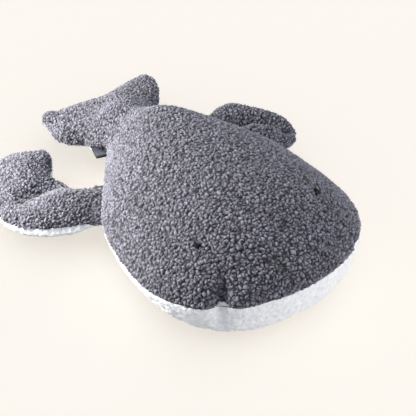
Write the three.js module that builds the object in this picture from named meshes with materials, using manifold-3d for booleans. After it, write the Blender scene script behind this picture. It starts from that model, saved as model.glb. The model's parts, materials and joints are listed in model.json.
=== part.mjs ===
// Whale cushion: a stuffed two-tone plush with a broad head, two hooked flippers and a tail fluke.
// Millimetres, +Z up, nose towards -Y, the whale's left towards +X.
// The origin lies on the flat of the belly, on the middle plane.
import * as THREE from "three";
import { mergeVertices } from "three/addons/utils/BufferGeometryUtils.js";
import Module from "manifold-3d";

const radiansOf = THREE.MathUtils.degToRad;

// Driving dimensions of the body
const HEAD_HALF_WIDTH = 150;
const HEAD_LENGTH = 138; // from the widest section to the nose
const BODY_END = 256; // from the widest section to the end that faces the fluke
const TAPER_RUNOUT = 26; // how far behind that end the taper would close
const WIDEST_Y = -60; // where the widest section lies
const BODY_HEIGHT = 141;
const TAPER_HALF_WIDTH = 28;
const TAPER_TOP = 66;
const STOCK_HALF_WIDTH = 40; // section that the body closes down to, facing the fluke
const STOCK_TOP = 78;
const STOCK_BOTTOM = 10;
const SHOULDER_LENGTH = 30; // over which the body closes down to that section
const SEAM_TAIL_HEIGHT = 42;
const SEAM_NOSE_HEIGHT = 86;
const FLAT_DEPTH = 0.5; // depth of the flat on which the belly rests

// Cloth, thread and clearances
const BOUCLE_PILE = 5; // thickness of the grey looped cloth
const FLEECE_PILE = 4; // thickness of the white cloth
const CLEARANCE = 0.3;
const THREAD_RADIUS = 0.5;

// Flippers, in a frame with u outwards from the hem and v along the hem towards the tail
const HEM_THICKNESS = 1.8;
const FLIPPER_SWELL_UP = 27;
const FLIPPER_SWELL_DOWN = 21;
const FLIPPER_SWELL_LENGTH_UP = 70; // from the hem to full thickness, above the seam
const FLIPPER_SWELL_LENGTH_DOWN = 40; // the same below the seam
const FLIPPER_INNER_WIDTH = 36; // half width on the inside of the elbow and the hand
const FLIPPER_ELBOW_GAP = 8; // least radius left open on the inside of the elbow
const FLIPPER_NARROW = 12; // half width below which the layers grow thinner
const FLIPPER_CREASE = 0.5; // share of the thickness lost in the crease at the elbow
// The right flipper lies spread out, and the left one is pushed together and leans towards the head.
const FLIPPER_POSES = {
  right: {
    arm: 27,
    elbowRadius: 74,
    elbowAngle: 95,
    elbowWidth: 60,
    hand: 41,
    handWidth: 42,
    edgeLift: 12, // how far the seam rises along the leading edge
    tipRound: 40, // length over which the tip rounds off
    tipShift: 8, // how far the tip lies towards the inside of the elbow
    lean: 0,
    droop: 8,
  },
  left: {
    arm: 23,
    elbowRadius: 33,
    elbowAngle: 104,
    elbowWidth: 31,
    hand: 54,
    handWidth: 27,
    edgeLift: 2,
    tipRound: 24,
    tipShift: 0,
    lean: 0.5,
    droop: 13,
  },
};

// Fluke, in a frame with its origin on the bending axis
const FLUKE_LENGTH = 88; // from the bending axis to the tips
const FLUKE_NOTCH = 9; // how far the middle of the trailing edge lies ahead of the tips
const FLUKE_FLARE_START = -4; // the leading edges leave the stock here, behind the axis
// The right lobe lies spread out, and the left one is drawn in and turns up at its tip.
const FLUKE_RIGHT_SPAN = 100;
const FLUKE_RIGHT_FLARE = 38;
const FLUKE_LEFT_SPAN = 83;
const FLUKE_LEFT_FLARE = 84;
const FLUKE_LEFT_CURL = 11;
const FLUKE_TIP_TRIM = 0.1; // share of the span lost at the tips
const FLUKE_SWELL_UP = 25;
const FLUKE_SWELL_DOWN = 20;
const KNUCKLE_RADIUS = 28; // round end of the fluke in the body's socket

// Details
const DART_LENGTH = 34; // seen from above
const DART_LEAN = radiansOf(33); // the darts run back and towards the middle
const EYE_LENGTH = 8;
const EYE_WIDTH = 6.4;
const EYE_HEIGHT = 4.8;
const LABEL_WIDTH = 20;
const LABEL_REACH = 20.5; // along the middle of the tape
const LABEL_SKEW = radiansOf(33); // the tape is sewn in askew, with its fold turned towards the nose
const LABEL_TAPE = 0.6;
const CLOSING_STITCH = 8; // length of one ladder stitch
const CLOSING_SWING = 1.2; // how far the ladder stitches swing to each side

// Places that follow from the driving dimensions, as distances behind or ahead of the widest section
const TAPER_LENGTH = BODY_END + TAPER_RUNOUT;
const BELLY_RISE_START = 0.5 * BODY_END; // behind this the belly lifts
const FLUKE_AXIS_BEHIND = BODY_END + 0.43 * KNUCKLE_RADIUS;
const FLUKE_AXIS_HEIGHT = SEAM_TAIL_HEIGHT + 1;
const SEAM_END = FLUKE_AXIS_BEHIND - 1.25 * KNUCKLE_RADIUS; // the side seams stop short of the socket
const HEM_FORWARD = 0.455 * BODY_END;
const HEM_BACK = 0.727 * BODY_END;
const LABEL_BEHIND = 0.955 * BODY_END;
const CLOSING_FROM = 0.16 * BODY_END; // the hand-sewn stretch of the left side seam
const CLOSING_TO = 0.36 * BODY_END;
const DART_FORWARD = 0.79 * HEAD_LENGTH; // where the nose darts meet the seam
const EYE_FORWARD = 0.275 * HEAD_LENGTH;
const EYE_SIDE = 0.58 * HEAD_HALF_WIDTH;
const SEAM_GAP = 2 * (THREAD_RADIUS + CLEARANCE); // between the two cloths at a seam
const HEM_STANDOFF = 0.85 * HEM_THICKNESS; // of a hem's bending axis from the side it is sewn to
const LABEL_STANDOFF = 2.5 * LABEL_TAPE; // the same for the label
const STUFFING_INSET = Math.max(BOUCLE_PILE, FLEECE_PILE) + CLEARANCE;
const DART_DEPTH = 0.8 * BOUCLE_PILE;

// Fineness of the surfaces
const TAPER_STEPS = 12;
const HEAD_STEPS = 8;
const SECTION_STEPS = 12;
const FLIPPER_STEPS = 16;
const FLIPPER_SECTION_STEPS = 8;
const FLUKE_STEPS = 11;

const wasm = await Module();
wasm.setup();
const { cos, sin, sqrt, abs, max, min, PI, hypot } = Math;
const point = (x, y, z) => new THREE.Vector3(x, y, z);

// Meshes and solids

// Triangles of a grid of points, as a flat list of vectors.
function gridTriangles(rows) {
  const list = [];
  for (let i = 0; i + 1 < rows.length; i++) {
    for (let j = 0; j + 1 < rows[i].length; j++) {
      const [a, b, c, d] = [rows[i][j], rows[i + 1][j], rows[i + 1][j + 1], rows[i][j + 1]];
      list.push(a, b, c, a, c, d);
    }
  }
  return list;
}

// A closed geometry from triangles: shared points merged, slivers dropped, faces turned outwards.
function closedGeometry(list) {
  const raw = new THREE.BufferGeometry().setFromPoints(list);
  const merged = mergeVertices(raw, 1e-3);
  const source = merged.index.array;
  const kept = [];
  for (let i = 0; i < source.length; i += 3) {
    const [a, b, c] = [source[i], source[i + 1], source[i + 2]];
    if (a !== b && b !== c && c !== a) kept.push(a, b, c);
  }
  const position = merged.getAttribute("position");
  const at = (i) => new THREE.Vector3().fromBufferAttribute(position, i);
  let volume = 0;
  for (let i = 0; i < kept.length; i += 3) {
    volume += at(kept[i]).dot(at(kept[i + 1]).cross(at(kept[i + 2])));
  }
  if (volume < 0) kept.reverse();
  return merged.setIndex(kept);
}

// What lies between an outer and an inner grid, closed along all four borders.
function between(outer, inner) {
  const border = (rows) => {
    const last = rows.length - 1;
    const end = rows[0].length - 1;
    return [
      ...rows[0].slice(0, end),
      ...rows.slice(0, last).map((row) => row[end]),
      ...rows[last].slice(1).reverse(),
      ...rows.slice(1).reverse().map((row) => row[0]),
      rows[0][0],
    ];
  };
  const rim = gridTriangles([border(inner), border(outer)]);
  return closedGeometry([...gridTriangles(outer), ...gridTriangles(inner).reverse(), ...rim]);
}

// A solid through closed rings, with flat ends.
function loft(rings) {
  const closed = rings.map((ring) => [...ring, ring[0]]);
  const list = gridTriangles(closed);
  const cap = (ring, turned) => {
    const middle = ring.reduce((sum, p) => sum.add(p), point(0, 0, 0)).divideScalar(ring.length);
    ring.forEach((p, j) => {
      const next = ring[(j + 1) % ring.length];
      list.push(...(turned ? [middle, next, p] : [middle, p, next]));
    });
  };
  cap(rings[0], false);
  cap(rings[rings.length - 1], true);
  return closedGeometry(list);
}

function tube(curve, steps, radius, sides) {
  const corners = spread(sides).slice(1).map((t) => 2 * PI * t);
  const section = new THREE.Shape(corners.map((a) => new THREE.Vector2(radius * cos(a), radius * sin(a))));
  return new THREE.ExtrudeGeometry(section, { steps, extrudePath: curve });
}

function toSolid(geometry) {
  const bare = geometry.clone();
  bare.deleteAttribute("normal");
  bare.deleteAttribute("uv");
  const merged = mergeVertices(bare, 1e-3);
  const vertProperties = new Float32Array(merged.getAttribute("position").array);
  const triVerts = new Uint32Array(merged.index.array);
  return new wasm.Manifold(new wasm.Mesh({ numProp: 3, vertProperties, triVerts }));
}

function toGeometry(solid) {
  const mesh = solid.getMesh();
  const position = new THREE.BufferAttribute(new Float32Array(mesh.vertProperties), 3);
  const geometry = new THREE.BufferGeometry().setAttribute("position", position);
  return geometry.setIndex(new THREE.BufferAttribute(new Uint32Array(mesh.triVerts), 1));
}

const spread = (count) => Array.from({ length: count + 1 }, (_, i) => i / count);

// Values from -1 to 1 across a section, closer together towards both seams.
const acrossSection = (steps) => spread(steps).map((t) => sin((t - 0.5) * PI));

// Body: a section at each station, from the end that faces the fluke to the nose

// A station runs from -1 at the tail end through 0 at the widest section to 1 at the nose.
const bodyStations = [
  ...spread(TAPER_STEPS).map((t) => t - 1),
  ...spread(HEAD_STEPS).slice(1).map((t) => sin((t * PI) / 2)),
];

const forwardOf = (station, inset) =>
  station > 0 ? station * (HEAD_LENGTH - inset) : station * BODY_END;

// Height of the side seam at a distance ahead of the widest section.
function seamHeight(forward) {
  const share = (forward + TAPER_LENGTH) / (TAPER_LENGTH + HEAD_LENGTH);
  return SEAM_TAIL_HEIGHT + (SEAM_NOSE_HEIGHT - SEAM_TAIL_HEIGHT) * share ** 2;
}

// Half width, crown and belly heights of the section at a station, drawn in by the inset.
function bodySection(station, inset) {
  const forward = forwardOf(station, 0);
  const seam = seamHeight(forwardOf(station, inset));
  if (station > 0) {
    const round = sqrt(1 - station ** 2);
    return {
      forward: forwardOf(station, inset),
      seam,
      half: (HEAD_HALF_WIDTH - inset) * sqrt(1 - station ** 2.3),
      top: seam + (BODY_HEIGHT - inset - seam) * round,
      bottom: seam - (seam - inset + FLAT_DEPTH) * sqrt(1 - station ** 6),
    };
  }
  const taper = -forward / TAPER_LENGTH;
  const half = TAPER_HALF_WIDTH + (HEAD_HALF_WIDTH - TAPER_HALF_WIDTH) * (1 - taper ** 2) ** 1.2;
  const top = TAPER_TOP + (BODY_HEIGHT - TAPER_TOP) * (1 - taper ** 3) ** 0.6;
  const lift = max(0, (-forward - BELLY_RISE_START) / (BODY_END - BELLY_RISE_START));
  const shoulder = max(0, (-forward - BODY_END + SHOULDER_LENGTH) / SHOULDER_LENGTH);
  const close = 1 - sqrt(1 - min(1, shoulder) ** 2);
  return {
    forward,
    seam,
    half: half + (STOCK_HALF_WIDTH - half) * close - inset,
    top: top + (STOCK_TOP - top) * close - inset,
    bottom: STOCK_BOTTOM * lift ** 2 - FLAT_DEPTH + inset,
  };
}

// A row of points over or under a section, from the right seam to the left.
function bodyRow(station, inset, over, edge) {
  const { forward, seam, half, top, bottom } = bodySection(station, inset);
  return acrossSection(SECTION_STEPS).map((across) => {
    const side = abs(across);
    const rise = over
      ? edge + max(0, top - seam - edge) * (1 - side ** 2.1) ** (1 / 1.5)
      : -edge - max(0, seam - bottom - edge) * (1 - side ** 2.8) ** (1 / 3);
    return point(across * half, WIDEST_Y - forward, seam + rise);
  });
}

const bodyGrid = (inset, over, edge) =>
  bodyStations.map((station) => bodyRow(station, inset, over, edge));

const bodyLoft = (inset) => between(bodyGrid(inset, true, 0), bodyGrid(inset, false, 0));

// A point on the seam of the body, on the right side for side -1 and the left for 1.
function seamPoint(forward, side, inset) {
  const station = forward > 0 ? forward / HEAD_LENGTH : forward / BODY_END;
  const section = bodySection(station, inset);
  return point(side * section.half, WIDEST_Y - section.forward, section.seam);
}

// A point on the top of the body at a side distance from the middle plane.
function crownPoint(forward, sideways) {
  const { seam, half, top } = bodySection(forward > 0 ? forward / HEAD_LENGTH : forward / BODY_END, 0);
  const rise = (1 - (abs(sideways) / half) ** 2.1) ** (1 / 1.5);
  return point(sideways, WIDEST_Y - forward, seam + (top - seam) * rise);
}

const halfGap = SEAM_GAP / 2;
const flukeAxis = point(0, WIDEST_Y + FLUKE_AXIS_BEHIND, FLUKE_AXIS_HEIGHT);

// Socket in the end of the body for the round end of the fluke.
const socketGeometry = new THREE.CylinderGeometry(
  KNUCKLE_RADIUS + CLEARANCE,
  KNUCKLE_RADIUS + CLEARANCE,
  4 * STOCK_HALF_WIDTH,
  36,
);
socketGeometry.rotateZ(PI / 2).translate(flukeAxis.x, flukeAxis.y, flukeAxis.z);
const socket = toSolid(socketGeometry);

// A nose dart runs up the head from the seam: a place on the cloth, and which way is outwards there.
function dartPlace(side, share) {
  const foot = seamPoint(DART_FORWARD, side, 0);
  const at = (forward, sideways) => crownPoint(DART_FORWARD - forward, foot.x - side * sideways);
  const run = max(0.01, share) * DART_LENGTH;
  const place = at(run * cos(DART_LEAN), run * sin(DART_LEAN));
  const further = at((run + 1) * cos(DART_LEAN), (run + 1) * sin(DART_LEAN));
  const along = further.sub(place).normalize();
  const across = point(side * cos(DART_LEAN), -sin(DART_LEAN), 0);
  const outward = along.clone().cross(across).multiplyScalar(-side).normalize();
  return { place: place.addScaledVector(along, min(0, share) * DART_LENGTH), outward, across };
}

const dartRadius = (share) => DART_DEPTH * (1 - share);

// The groove of a dart, deepest at the seam and running out to nothing.
function dartGroove(side) {
  const rings = [-0.15, 0, 0.2, 0.4, 0.6, 0.8, 0.98].map((share) => {
    const { place, outward, across } = dartPlace(side, share);
    return spread(8).slice(1).map((t) =>
      place.clone()
        .addScaledVector(outward, dartRadius(share) * cos(2 * PI * t))
        .addScaledVector(across, dartRadius(share) * sin(2 * PI * t)),
    );
  });
  return toSolid(loft(rings));
}

function makeBackPanel() {
  const layer = between(bodyGrid(0, true, halfGap), bodyGrid(BOUCLE_PILE, true, halfGap));
  return toGeometry(
    toSolid(layer).subtract(socket).subtract(dartGroove(-1)).subtract(dartGroove(1)),
  );
}

function makeBellyPanel() {
  const layer = between(bodyGrid(0, false, halfGap), bodyGrid(FLEECE_PILE, false, halfGap));
  const floor = new THREE.BoxGeometry(4 * HEAD_HALF_WIDTH, 4 * TAPER_LENGTH, BODY_HEIGHT);
  floor.translate(0, 0, -BODY_HEIGHT / 2);
  return toGeometry(toSolid(layer).subtract(socket).subtract(toSolid(floor)));
}

function makeBodyStuffing() {
  return toGeometry(toSolid(bodyLoft(STUFFING_INSET)).subtract(socket));
}

// Seam threads lie between the two cloths, half a pile inside the edge.
function sideSeam(from, to, side, steps, waves) {
  return spread(steps).map((t) => {
    const wave = CLOSING_SWING * sin(2 * PI * waves * t);
    return seamPoint(from + (to - from) * t, side, FLEECE_PILE / 2 + wave);
  });
}

function noseSeam(steps) {
  return spread(steps).map((t) => {
    const angle = (t - 0.5) * PI;
    const station = cos(angle);
    const { half, forward, seam } = bodySection(max(station, 1e-6), FLEECE_PILE / 2);
    return point(sin(angle) < 0 ? -half : half, WIDEST_Y - forward, seam);
  });
}

function makeBodySeamThread() {
  const path = new THREE.CatmullRomCurve3([
    ...sideSeam(-SEAM_END, 0, -1, 10, 0).slice(0, -1),
    ...noseSeam(20),
    ...sideSeam(0, -CLOSING_FROM + CLEARANCE, 1, 2, 0).slice(1),
  ]);
  return tube(path, 72, THREAD_RADIUS, 5);
}

function makeClosingThread() {
  const stitches = Math.round((CLOSING_TO - CLOSING_FROM) / CLOSING_STITCH);
  const path = new THREE.CatmullRomCurve3(
    sideSeam(-CLOSING_FROM - CLEARANCE, -CLOSING_TO, 1, 8 * stitches, stitches),
  );
  return tube(path, 8 * stitches, THREAD_RADIUS, 5);
}

function makeTailSeamThread() {
  const path = new THREE.CatmullRomCurve3(
    sideSeam(-CLOSING_TO - 2 * CLEARANCE, -SEAM_END, 1, 8, 0),
  );
  return tube(path, 16, THREAD_RADIUS, 5);
}

// The thread that draws a dart together lies along the bottom of its groove.
function makeDartThread(side) {
  const bottom = [0.1, 0.2, 0.4, 0.6].map((share) => {
    const { place, outward } = dartPlace(side, share);
    return place.addScaledVector(outward, THREAD_RADIUS + CLEARANCE - dartRadius(share));
  });
  return tube(new THREE.CatmullRomCurve3(bottom), 6, THREAD_RADIUS, 6);
}

// An eye is a small padded knot of thread, cut to lie on the cloth.
function makeEye(side) {
  const seat = crownPoint(EYE_FORWARD, side * EYE_SIDE);
  const ahead = crownPoint(EYE_FORWARD + 1, side * EYE_SIDE).sub(seat);
  const aside = crownPoint(EYE_FORWARD, side * (EYE_SIDE + 1)).sub(seat);
  const normal = ahead.clone().cross(aside).multiplyScalar(side).normalize();
  if (normal.z < 0) normal.negate();
  const knot = new THREE.SphereGeometry(1, 14, 10);
  knot.scale(EYE_LENGTH / 2, EYE_WIDTH / 2, EYE_HEIGHT / 2);
  const turn = new THREE.Quaternion().setFromUnitVectors(point(0, 0, 1), normal);
  knot.applyQuaternion(turn).translate(seat.x, seat.y, seat.z);
  return toGeometry(toSolid(knot).subtract(toSolid(bodyLoft(-CLEARANCE))));
}

// Flippers: a section at each station along an arm, an elbow and a hand

const hemFront = seamPoint(-HEM_FORWARD, 1, 0);
const hemBack = seamPoint(-HEM_BACK, 1, 0);
const hemLength = hypot(hemBack.x - hemFront.x, hemBack.y - hemFront.y);
const hemMiddle = hemFront.clone().add(hemBack).divideScalar(2);
const hemAngle = Math.atan2(hemFront.x - hemBack.x, hemBack.y - hemFront.y); // from +Y towards -X
const hemOutward = point(cos(hemAngle), sin(hemAngle), 0);
const hemBulge = seamPoint(-(HEM_FORWARD + HEM_BACK) / 2, 1, 0).sub(hemMiddle).dot(hemOutward);
const hemOffset = hemBulge + HEM_STANDOFF; // of the bending axis from the hem's middle

// Place and direction of the middle line of a flipper at a distance from the hem.
function middleLine(pose, distance) {
  const turn = radiansOf(pose.elbowAngle);
  const bend = pose.elbowRadius * turn;
  if (distance <= pose.arm) return { u: distance, v: 0, angle: 0 };
  const angle = min(turn, (distance - pose.arm) / pose.elbowRadius);
  const after = max(0, distance - pose.arm - bend);
  return {
    u: pose.arm + pose.elbowRadius * sin(angle) + after * cos(turn),
    v: pose.elbowRadius * (1 - cos(angle)) + after * sin(turn),
    angle,
  };
}

const flipperLength = (pose) => pose.arm + pose.elbowRadius * radiansOf(pose.elbowAngle) + pose.hand;

// Half widths on the outside and inside of the elbow, share of full thickness, lift of the leading edge,
// share of the elbow and shift of the tip.
function flipperSection(pose, distance, over) {
  const length = flipperLength(pose);
  const bend = pose.elbowRadius * radiansOf(pose.elbowAngle);
  const elbow = (distance - pose.arm - bend / 2) / (0.55 * bend);
  const bulge = max(0, 1 - elbow ** 2) ** 2;
  const past = max(0, distance - length + pose.tipRound) / pose.tipRound;
  const round = sqrt(max(0, 1 - past ** 2));
  const base = distance < pose.arm + bend / 2 ? hemLength / 2 : pose.handWidth;
  const outer = base + (pose.elbowWidth - base) * bulge;
  const inner = min(FLIPPER_INNER_WIDTH, pose.elbowRadius - FLIPPER_ELBOW_GAP);
  const innerHere = inner + (hemLength / 2 - inner) * max(0, 1 - distance / pose.arm);
  const swelling = (run) => sin((min(1, max(0, distance / run)) * PI) / 2) * round;
  return {
    outer: outer * round,
    inner: innerHere * sqrt(round),
    thick: swelling(over ? FLIPPER_SWELL_LENGTH_UP : FLIPPER_SWELL_LENGTH_DOWN),
    lift: pose.edgeLift * swelling(FLIPPER_SWELL_LENGTH_UP),
    bulge,
    shift: pose.tipShift * past ** 2,
  };
}

// Rows of points over or under a flipper, drawn in by the inset.
function flipperGrid(pose, inset, over, edge) {
  const swell = over ? FLIPPER_SWELL_UP : FLIPPER_SWELL_DOWN;
  const start = inset > 0 ? STUFFING_INSET : CLEARANCE - HEM_STANDOFF;
  const length = flipperLength(pose) - inset;
  return spread(FLIPPER_STEPS).map((t) => {
    const distance = start + (length - start) * sin((t * PI) / 2);
    const share = distance / length;
    const section = flipperSection(pose, share * flipperLength(pose), over);
    const { outer, inner, thick, lift, bulge, shift } = section;
    const { u, v, angle } = middleLine(pose, distance);
    const full = HEM_THICKNESS / 2 + (swell - HEM_THICKNESS / 2) * thick;
    return acrossSection(FLIPPER_SECTION_STEPS).map((across) => {
      const wide = across < 0 ? outer : inner;
      const offset = shift + across * max(0, wide - inset * min(1, wide / FLIPPER_NARROW));
      const crease = 1 - FLIPPER_CREASE * bulge * (across > 0 ? across ** 0.5 : 0) * (over ? 1 : 0.4);
      const profile = (1 - abs(across) ** 2.3) ** (over ? 1 / 1.8 : 1 / 2.6);
      const rise = edge + max(0, full * crease - inset - edge) * profile;
      const outward = u - offset * sin(angle);
      const edgeLift = across < 0 ? lift * across ** 2 : 0;
      return point(
        outward,
        v + offset * cos(angle) - pose.lean * outward,
        edgeLift + (over ? rise : -rise),
      );
    });
  });
}

function flipperStuffing(pose) {
  const grid = (over) => flipperGrid(pose, STUFFING_INSET, over, CLEARANCE);
  return between(grid(true), grid(false));
}

function flipperThread(pose) {
  const rows = flipperGrid(pose, FLEECE_PILE / 2, true, 0);
  const last = rows[0].length - 1;
  const path = [...rows.map((row) => row[0]), ...rows.slice(0, -1).reverse().map((row) => row[last])];
  return tube(new THREE.CatmullRomCurve3(path, false, "catmullrom", 0), 120, THREAD_RADIUS, 5);
}

// Fluke: a section at each station from the knuckle to the trailing edge

// Rows of points over or under the fluke, drawn in by the inset.
function flukeGrid(inset, over, edge) {
  const length = FLUKE_LENGTH - inset;
  const swell = over ? FLUKE_SWELL_UP : FLUKE_SWELL_DOWN;
  return spread(FLUKE_STEPS).map((t) => {
    const behind = -KNUCKLE_RADIUS + (length + KNUCKLE_RADIUS) * sin((t * PI) / 2);
    const past = min(1, max(0, behind) / length);
    const lobe = (span, flareLength) => {
      const flare = min(1, max(0, behind - FLUKE_FLARE_START) / flareLength);
      const half = STOCK_HALF_WIDTH + (span - STOCK_HALF_WIDTH) * sin((flare * PI) / 2);
      return half * (1 - FLUKE_TIP_TRIM * past ** 4) - inset;
    };
    const right = lobe(FLUKE_RIGHT_SPAN, FLUKE_RIGHT_FLARE);
    const left = lobe(FLUKE_LEFT_SPAN, FLUKE_LEFT_FLARE);
    const full = swell + (KNUCKLE_RADIUS - swell) * min(1, max(0, 1 - behind / KNUCKLE_RADIUS));
    return acrossSection(SECTION_STEPS).map((across) => {
      const profile = (1 - abs(across) ** 2.4) ** (1 / 1.9);
      const rise = edge + max(0, full - inset - edge) * profile * sqrt(1 - past ** 2.6);
      const notch = FLUKE_NOTCH * (1 - abs(across)) ** 2 * past ** 3;
      const sideways = across * (across < 0 ? right : left);
      const curl = FLUKE_LEFT_CURL * max(0, sideways / FLUKE_LEFT_SPAN) ** 2;
      return point(sideways, behind - notch, curl + (over ? rise : -rise));
    });
  });
}

// What lies behind the bending axis, and the round end in front of it.
const knuckle = new THREE.CylinderGeometry(KNUCKLE_RADIUS, KNUCKLE_RADIUS, 4 * FLUKE_RIGHT_SPAN, 36);
knuckle.rotateZ(PI / 2);
const rear = new THREE.BoxGeometry(4 * FLUKE_RIGHT_SPAN, 2 * FLUKE_LENGTH, 4 * KNUCKLE_RADIUS);
rear.translate(0, FLUKE_LENGTH, 0);
const flukeEnvelope = toSolid(knuckle).add(toSolid(rear));
const flukePiece = (geometry) => toGeometry(toSolid(geometry).intersect(flukeEnvelope));

function flukeStuffing() {
  const grid = (over) => flukeGrid(STUFFING_INSET, over, CLEARANCE);
  return flukePiece(between(grid(true), grid(false)));
}

function flukeThread() {
  const rows = flukeGrid(FLEECE_PILE / 2, true, 0).slice(4);
  const last = rows[0].length - 1;
  const end = rows.length - 1;
  const path = [
    ...rows.slice(0, end).map((row) => row[0]),
    ...rows[end],
    ...rows.slice(0, end).reverse().map((row) => row[last]),
  ];
  return tube(new THREE.CatmullRomCurve3(path), 60, THREAD_RADIUS, 5);
}

// Label: a folded tape in the right side seam, in a frame with u outwards and v along the seam

function labelTape() {
  const inner = LABEL_TAPE / 2;
  const outer = inner + LABEL_TAPE;
  const bend = LABEL_REACH - outer;
  const sewn = -LABEL_WIDTH; // the end that is cut off along the seam
  const outline = new THREE.Shape();
  outline.moveTo(sewn, -outer);
  outline.absarc(bend, 0, outer, -PI / 2, PI / 2);
  outline.lineTo(sewn, outer);
  outline.lineTo(sewn, inner);
  outline.absarc(bend, 0, inner, PI / 2, -PI / 2, true);
  outline.lineTo(sewn, -inner);
  outline.closePath();
  const tape = new THREE.ExtrudeGeometry(outline, {
    depth: LABEL_WIDTH,
    bevelEnabled: false,
    curveSegments: 6,
  });
  tape.translate(0, 0, -LABEL_WIDTH / 2).rotateX(-PI / 2).rotateZ(-LABEL_SKEW);
  return toGeometry(toSolid(tape).trimByPlane([1, 0, 0], CLEARANCE - LABEL_STANDOFF));
}

// Materials

const cloth = (color) => new THREE.MeshStandardMaterial({ color, roughness: 0.95, metalness: 0 });
const greyBoucle = cloth(0x6a6a70);
const whiteFleece = cloth(0xeceef0);
const fibreFill = cloth(0xf6f5f0);
const greyThread = cloth(0x55555a);
const blackThread = new THREE.MeshStandardMaterial({ color: 0x0c0d12, roughness: 0.5, metalness: 0 });
const navyTape = new THREE.MeshStandardMaterial({ color: 0x2a303c, roughness: 0.7, metalness: 0 });

// Assembly

const whale = new THREE.Group();

function piece(parent, name, geometry, material) {
  const mesh = new THREE.Mesh(geometry, material);
  mesh.name = name;
  parent.add(mesh);
}

piece(whale, "back_panel", makeBackPanel(), greyBoucle);
piece(whale, "belly_panel", makeBellyPanel(), whiteFleece);
piece(whale, "body_stuffing", makeBodyStuffing(), fibreFill);
piece(whale, "body_seam_thread", makeBodySeamThread(), greyThread);
piece(whale, "closing_stitch_thread", makeClosingThread(), greyThread);
piece(whale, "tail_seam_thread", makeTailSeamThread(), greyThread);
for (const [name, side] of [["right", -1], ["left", 1]]) {
  piece(whale, `${name}_eye`, makeEye(side), blackThread);
  piece(whale, `${name}_dart_thread`, makeDartThread(side), greyThread);
}

// A frame on the side seam: x outwards, y along the seam towards the tail. The right one is a mirror image.
function sideFrame(middle, angle, side, offset) {
  const frame = new THREE.Group();
  frame.scale.x = side;
  const outward = point(side * cos(angle), sin(angle), 0);
  frame.position.set(side * middle.x, middle.y, middle.z).addScaledVector(outward, offset);
  frame.rotation.z = side * angle;
  whale.add(frame);
  return frame;
}

for (const [name, side] of [["right", -1], ["left", 1]]) {
  const pose = FLIPPER_POSES[name];
  const flipper = new THREE.Group();
  flipper.rotation.y = radiansOf(pose.droop);
  sideFrame(hemMiddle, hemAngle, side, hemOffset).add(flipper);
  const layer = (pile, over) =>
    between(flipperGrid(pose, 0, over, halfGap), flipperGrid(pose, pile, over, halfGap));
  piece(flipper, `${name}_flipper_top`, layer(BOUCLE_PILE, true), greyBoucle);
  piece(flipper, `${name}_flipper_bottom`, layer(FLEECE_PILE, false), whiteFleece);
  piece(flipper, `${name}_flipper_stuffing`, flipperStuffing(pose), fibreFill);
  piece(flipper, `${name}_flipper_seam_thread`, flipperThread(pose), greyThread);
}

const fluke = new THREE.Group();
fluke.position.copy(flukeAxis);
whale.add(fluke);
const flukeLayer = (pile, over) =>
  flukePiece(between(flukeGrid(0, over, halfGap), flukeGrid(pile, over, halfGap)));
piece(fluke, "fluke_top", flukeLayer(BOUCLE_PILE, true), greyBoucle);
piece(fluke, "fluke_bottom", flukeLayer(FLEECE_PILE, false), whiteFleece);
piece(fluke, "fluke_stuffing", flukeStuffing(), fibreFill);
piece(fluke, "fluke_seam_thread", flukeThread(), greyThread);

const labelSeat = seamPoint(-LABEL_BEHIND, 1, 0);
const labelSlope = seamPoint(-LABEL_BEHIND - 1, 1, 0).sub(seamPoint(-LABEL_BEHIND + 1, 1, 0));
const labelAngle = Math.atan2(-labelSlope.x, labelSlope.y);
const labelFrame = sideFrame(labelSeat, labelAngle, -1, LABEL_STANDOFF);
piece(labelFrame, "label_tape", labelTape(), navyTape);

export default whale;
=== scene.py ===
# %% [markdown]
# # Whale cushion
# A stuffed whale that lies on its belly. Grey looped cloth covers the back, white short pile covers the
# belly, and hooked flippers and a fluke are sewn on. Knots of black thread are the eyes, and a folded
# tape is caught in the right side seam.
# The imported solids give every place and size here, so this lesson only dresses them.

# %% Load the frame
import json
import math

import bpy
import numpy as np
from mathutils import Matrix, Vector

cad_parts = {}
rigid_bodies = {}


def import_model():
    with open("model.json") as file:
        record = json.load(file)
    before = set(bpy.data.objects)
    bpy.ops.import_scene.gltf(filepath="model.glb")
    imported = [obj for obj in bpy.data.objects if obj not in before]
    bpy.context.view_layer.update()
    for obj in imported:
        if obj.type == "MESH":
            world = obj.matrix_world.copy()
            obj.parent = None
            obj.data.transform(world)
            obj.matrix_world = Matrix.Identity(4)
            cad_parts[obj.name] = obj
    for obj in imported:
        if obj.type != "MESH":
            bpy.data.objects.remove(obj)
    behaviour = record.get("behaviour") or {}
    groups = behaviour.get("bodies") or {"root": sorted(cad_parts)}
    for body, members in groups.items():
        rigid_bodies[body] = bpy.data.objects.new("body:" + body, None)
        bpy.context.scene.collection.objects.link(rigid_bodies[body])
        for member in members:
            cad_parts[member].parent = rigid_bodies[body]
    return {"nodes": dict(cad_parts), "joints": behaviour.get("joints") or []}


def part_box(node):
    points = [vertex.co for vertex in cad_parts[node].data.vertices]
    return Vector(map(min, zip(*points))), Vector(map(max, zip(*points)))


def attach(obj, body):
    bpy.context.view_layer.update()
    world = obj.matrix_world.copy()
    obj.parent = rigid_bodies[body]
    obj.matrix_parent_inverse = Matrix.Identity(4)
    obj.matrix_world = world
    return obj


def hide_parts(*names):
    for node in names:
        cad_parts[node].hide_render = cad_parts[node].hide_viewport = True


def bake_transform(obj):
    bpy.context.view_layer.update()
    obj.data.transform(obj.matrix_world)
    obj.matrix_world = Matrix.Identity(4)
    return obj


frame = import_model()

scene = bpy.context.scene
scene.view_settings.view_transform = "Standard"
SIDES = ("right", "left")
nodes = frame["nodes"]
joints = {joint["name"]: joint for joint in frame["joints"]}
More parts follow.
